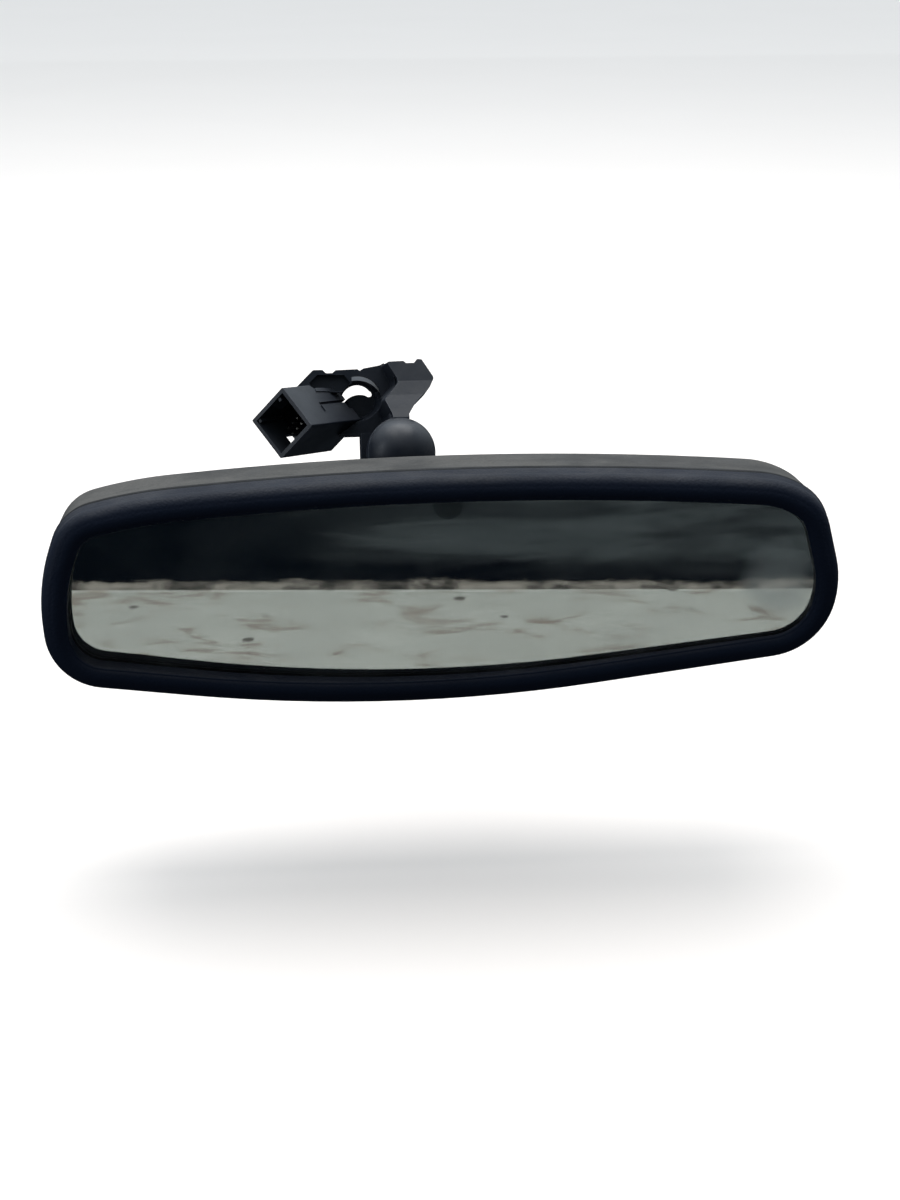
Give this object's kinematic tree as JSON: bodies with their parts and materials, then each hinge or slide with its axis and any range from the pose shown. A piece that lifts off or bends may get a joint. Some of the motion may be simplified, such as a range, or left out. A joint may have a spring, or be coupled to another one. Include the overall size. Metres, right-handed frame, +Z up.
{
  "type": "interior rearview mirror",
  "caption": "Auto-dimming interior rear-view mirror: wide rounded head on a ball joint below a cast windscreen mount that carries a square plug socket.",
  "frame": {"origin": "middle of the front rim of the round windscreen foot, the face turned to the windscreen", "axes": "+X along the mirror head to the driver's right, +Y away from the driver towards the windscreen (out of the foot's front), +Z up"},
  "size_m": [0.2602, 0.0969, 0.0984],
  "materials": {
    "bezel_plastic": "fine spark grain, semi-matte",
    "housing_plastic": "fine spark grain, matte and dusty",
    "clear_glass": "polished, ground edge",
    "mirror_coat": "silvered on the front of the pane",
    "smoked_filter": "polished smoked filter",
    "epoxy_seal": "cured epoxy bead",
    "spring_metal": "stamped, tin plated",
    "foam_tape": "closed-cell foam",
    "carrier_plastic": "moulded, smooth",
    "board_laminate": "green solder mask over laminate",
    "chip_epoxy": "moulded epoxy packages",
    "can_aluminium": "drawn aluminium cans",
    "header_plastic": "natural nylon",
    "sensor_epoxy": "clear tinted epoxy",
    "lens_plastic": "smoked light guide",
    "screw_steel": "zinc plated",
    "stud_zinc": "black coated zinc casting",
    "seat_nylon": "natural nylon, greased",
    "ring_steel": "hardened steel",
    "mount_black": "black coated casting",
    "bracket_plastic": "smooth moulded, slightly glossy",
    "block_plastic": "smooth moulded",
    "pin_brass": "tin plated brass"
  },
  "bodies": {
    "mount": {"mount_arm": "mount_black", "bayonet_spring": "spring_metal", "connector_bracket": "bracket_plastic", "plug_socket": "bracket_plastic", "terminal_block": "block_plastic", "contact_pins": "pin_brass", "pressure_ring": "ring_steel", "pressure_springs": "ring_steel"},
    "yaw_seat": {"outer_ball_seat": "seat_nylon"},
    "roll_seat": {"inner_ball_seat": "seat_nylon"},
    "mirror_head": {"front_bezel": "bezel_plastic", "rear_housing": "housing_plastic", "front_glass": "clear_glass", "rear_glass": "mirror_coat", "cell_seal": "epoxy_seal", "sensor_window": "smoked_filter", "bus_clip_upper": "spring_metal", "bus_clip_lower": "spring_metal", "adhesive_pad": "foam_tape", "glass_carrier": "carrier_plastic", "circuit_board": "board_laminate", "control_chip": "chip_epoxy", "power_transistor": "chip_epoxy", "chip_resistors": "chip_epoxy", "capacitors": "can_aluminium", "board_header": "header_plastic", "glare_sensor": "sensor_epoxy", "ambient_sensor": "sensor_epoxy", "ambient_lens": "lens_plastic", "board_screws": "screw_steel", "ball_stud": "stud_zinc", "flange_screws": "screw_steel"}
  },
  "joints": [
    {"name": "head_yaw", "type": "hinge", "parent": "mount", "child": "yaw_seat", "pos_m": [0.0134, -0.0416, -0.0077], "axis": [0, 0, 1], "range_deg": [-18, 18]},
    {"name": "head_roll", "type": "hinge", "parent": "yaw_seat", "child": "roll_seat", "pos_m": [0.0134, -0.0416, -0.0077], "axis": [0, 1, 0], "range_deg": [-10, 10]},
    {"name": "head_pitch", "type": "hinge", "parent": "roll_seat", "child": "mirror_head", "pos_m": [0.0134, -0.0416, -0.0077], "axis": [1, 0, 0], "range_deg": [-14, 14]}
  ]
}
